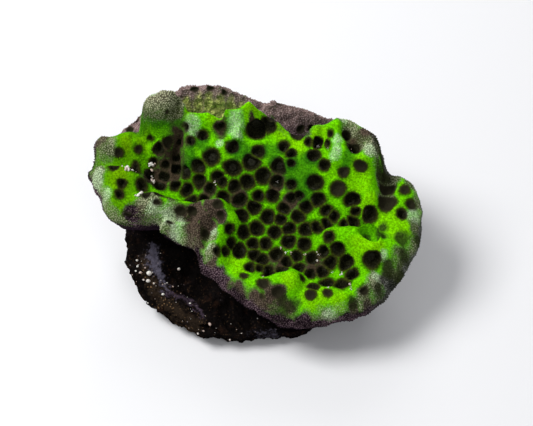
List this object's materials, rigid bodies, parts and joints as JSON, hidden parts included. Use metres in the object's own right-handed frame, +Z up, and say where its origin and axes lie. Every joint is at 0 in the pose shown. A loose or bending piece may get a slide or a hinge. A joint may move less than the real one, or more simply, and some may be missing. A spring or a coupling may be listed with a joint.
{
  "type": "montipora coral",
  "caption": "Wavy plate of pitted stony coral with raised knobs and ridges, grown over a loose dark stone that rests on a flat foot.",
  "frame": {"origin": "on the stone's flat cut foot, under the middle of the colony", "axes": "+X along the colony's length, +Y towards its raised back edge, +Z up"},
  "size_m": [0.0725, 0.0521, 0.0375],
  "materials": {
    "coral_tissue": "finely granular living tissue over limestone: vivid green ridges, near-black brown pits, grey-mauve rim",
    "live_rock": "rough porous limestone, brown-black, with patches of purple, bluish-white and tan crust"
  },
  "bodies": {
    "root": {"coral_colony": "coral_tissue", "base_rock": "live_rock"}
  },
  "joints": []
}
